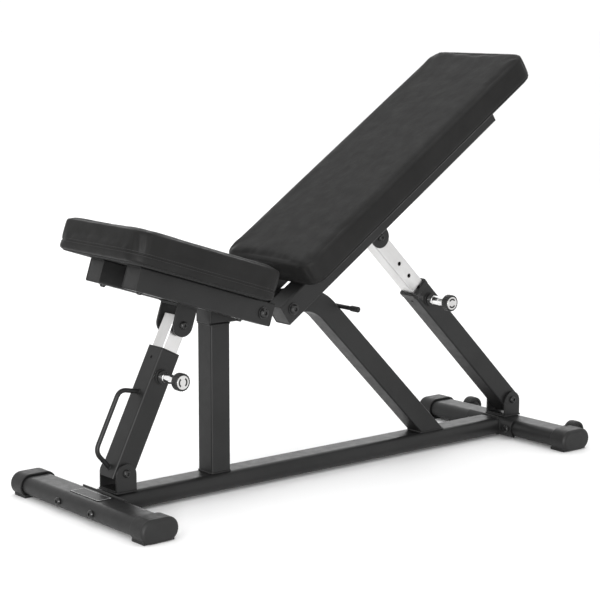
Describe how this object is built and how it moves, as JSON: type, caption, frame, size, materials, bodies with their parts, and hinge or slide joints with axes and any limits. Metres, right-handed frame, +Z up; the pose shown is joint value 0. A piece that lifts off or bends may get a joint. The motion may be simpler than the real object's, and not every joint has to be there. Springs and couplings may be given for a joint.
{
  "type": "adjustable weight bench",
  "caption": "Adjustable weight bench with a hinged seat and a hinged backrest, each held by a telescopic strut with a spring-loaded pull pin, on a steel base with wheels.",
  "frame": {"origin": "on the floor, in the middle of the overall length and width", "axes": "+X towards the head end (rear stabiliser and wheels), +Y towards the side without the pull knobs, +Z up"},
  "size_m": [1.3364, 0.502, 0.9287],
  "materials": {
    "powder_coat": "satin black powder coat with a fine texture",
    "black_plastic": "matte black moulded plastic",
    "rubber": "matte black moulded rubber",
    "vinyl": "fine-grained matte black vinyl over foam",
    "plywood": "plain plywood",
    "satin_steel": "satin nickel-plated steel",
    "chrome": "bright chrome plate",
    "black_bolt": "black zinc-plated steel",
    "label": "satin black plate, blank"
  },
  "bodies": {
    "base_frame": {"base_tube": "powder_coat", "front_stabiliser_tube": "powder_coat", "rear_stabiliser_tube": "powder_coat", "front_left_end_cap": "rubber", "front_right_end_cap": "rubber", "rear_left_end_cap": "rubber", "rear_right_end_cap": "rubber", "front_left_stabiliser_bolt": "black_bolt", "front_right_stabiliser_bolt": "black_bolt", "rear_left_stabiliser_bolt": "black_bolt", "rear_right_stabiliser_bolt": "black_bolt", "blank_name_plate": "label", "left_wheel_bracket": "powder_coat", "right_wheel_bracket": "powder_coat", "left_wheel_axle_bolt": "black_bolt", "right_wheel_axle_bolt": "black_bolt", "seat_post": "powder_coat", "main_beam": "powder_coat", "main_beam_end_plug": "black_plastic", "backrest_stop_rod": "powder_coat", "seat_strut_base_bracket": "powder_coat", "backrest_strut_base_bracket": "powder_coat"},
    "left_wheel": {"left_transport_wheel": "rubber"},
    "right_wheel": {"right_transport_wheel": "rubber"},
    "seat": {"seat_left_rail": "powder_coat", "seat_right_rail": "powder_coat", "seat_cross_tube": "powder_coat", "seat_strut_top_bracket": "powder_coat", "seat_board": "plywood", "seat_pad": "vinyl", "seat_pivot_bolt": "black_bolt", "seat_strut_top_bolt": "black_bolt"},
    "backrest_pivot": {"backrest_pivot_bolt": "black_bolt"},
    "backrest": {"backrest_left_rail": "powder_coat", "backrest_right_rail": "powder_coat", "backrest_lower_cross_tube": "powder_coat", "backrest_upper_cross_tube": "powder_coat", "backrest_strut_top_bracket": "powder_coat", "backrest_board": "plywood", "backrest_pad": "vinyl", "backrest_strut_top_bolt": "black_bolt", "backrest_strut_top_nut": "black_bolt"},
    "seat_strut_outer": {"seat_strut_outer_tube": "powder_coat", "seat_strut_guide_bush": "black_plastic", "seat_strut_base_bolt": "black_bolt", "seat_strut_pin_barrel": "chrome", "seat_strut_pin_spring": "satin_steel", "seat_strut_grab_handle": "powder_coat"},
    "seat_strut_inner": {"seat_strut_inner_tube": "satin_steel"},
    "seat_pull_pin": {"seat_strut_lock_pin": "satin_steel", "seat_strut_pull_knob": "black_plastic"},
    "backrest_strut_outer": {"backrest_strut_outer_tube": "powder_coat", "backrest_strut_guide_bush": "black_plastic", "backrest_strut_base_bolt": "black_bolt", "backrest_strut_pin_barrel": "chrome", "backrest_strut_pin_spring": "satin_steel"},
    "backrest_strut_plug": {"backrest_strut_end_plug": "black_plastic"},
    "backrest_strut_inner": {"backrest_strut_inner_tube": "satin_steel"},
    "backrest_pull_pin": {"backrest_strut_lock_pin": "satin_steel", "backrest_strut_pull_knob": "black_plastic"}
  },
  "joints": [
    {"name": "left_wheel_spin", "type": "hinge", "parent": "base_frame", "child": "left_wheel", "pos_m": [0.64472, -0.174, 0.025], "axis": [0, 1, 0], "continuous": true},
    {"name": "right_wheel_spin", "type": "hinge", "parent": "base_frame", "child": "right_wheel", "pos_m": [0.64472, 0.174, 0.025], "axis": [0, 1, 0], "continuous": true},
    {"name": "seat_tilt", "type": "hinge", "parent": "base_frame", "child": "seat", "pos_m": [-0.24227, 0, 0.396], "axis": [0, 1, 0], "range_deg": [-18, 0]},
    {"name": "seat_strut_swing", "type": "hinge", "parent": "base_frame", "child": "seat_strut_outer", "pos_m": [-0.55478, 0, 0.085], "axis": [0, 1, 0], "range_deg": [0, 6.8]},
    {"name": "seat_strut_slide", "type": "slide", "parent": "seat_strut_outer", "child": "seat_strut_inner", "axis": [0.4475, 0, 0.8943], "range_m": [-0.0371, 0]},
    {"name": "seat_pin_pull", "type": "slide", "parent": "seat_strut_outer", "child": "seat_pull_pin", "axis": [0, -1, 0], "range_m": [0, 0.008], "stiffness_N_per_m": 1500, "springref_m": -0.01, "deforming": ["seat_strut_pin_spring"]},
    {"name": "backrest_lower", "type": "hinge", "parent": "base_frame", "child": "backrest_pivot", "pos_m": [-0.16028, 0, 0.396], "axis": [0, -1, 0], "range_deg": [-32, 0]},
    {"name": "backrest_raise", "type": "hinge", "parent": "backrest_pivot", "child": "backrest", "pos_m": [-0.16028, 0, 0.396], "axis": [0, -1, 0], "range_deg": [0, 33]},
    {"name": "backrest_strut_swing", "type": "hinge", "parent": "base_frame", "child": "backrest_strut_outer", "pos_m": [0.57873, 0, 0.085], "axis": [0, 1, 0], "range_deg": [-13.5, 0]},
    {"name": "backrest_strut_slide_raise", "type": "slide", "parent": "backrest_strut_outer", "child": "backrest_strut_plug", "axis": [-0.7075, 0, 0.7067], "range_m": [0, 0.1852]},
    {"name": "backrest_strut_slide_lower", "type": "slide", "parent": "backrest_strut_plug", "child": "backrest_strut_inner", "axis": [-0.7075, 0, 0.7067], "range_m": [-0.1277, 0]},
    {"name": "backrest_pin_pull", "type": "slide", "parent": "backrest_strut_outer", "child": "backrest_pull_pin", "axis": [0, -1, 0], "range_m": [0, 0.008], "stiffness_N_per_m": 1500, "springref_m": -0.01, "deforming": ["backrest_strut_pin_spring"]}
  ],
  "couplings": [
    {"joint": "seat_strut_swing", "follows": "seat_tilt", "ratio": -0.37523},
    {"joint": "seat_strut_slide", "follows": "seat_tilt", "m_per_rad": 0.1177},
    {"joint": "backrest_strut_swing", "follows": "backrest_lower", "ratio": 0.41966},
    {"joint": "backrest_strut_slide_lower", "follows": "backrest_lower", "m_per_rad": 0.22829},
    {"joint": "backrest_strut_slide_raise", "follows": "backrest_raise", "m_per_rad": 0.32144}
  ]
}
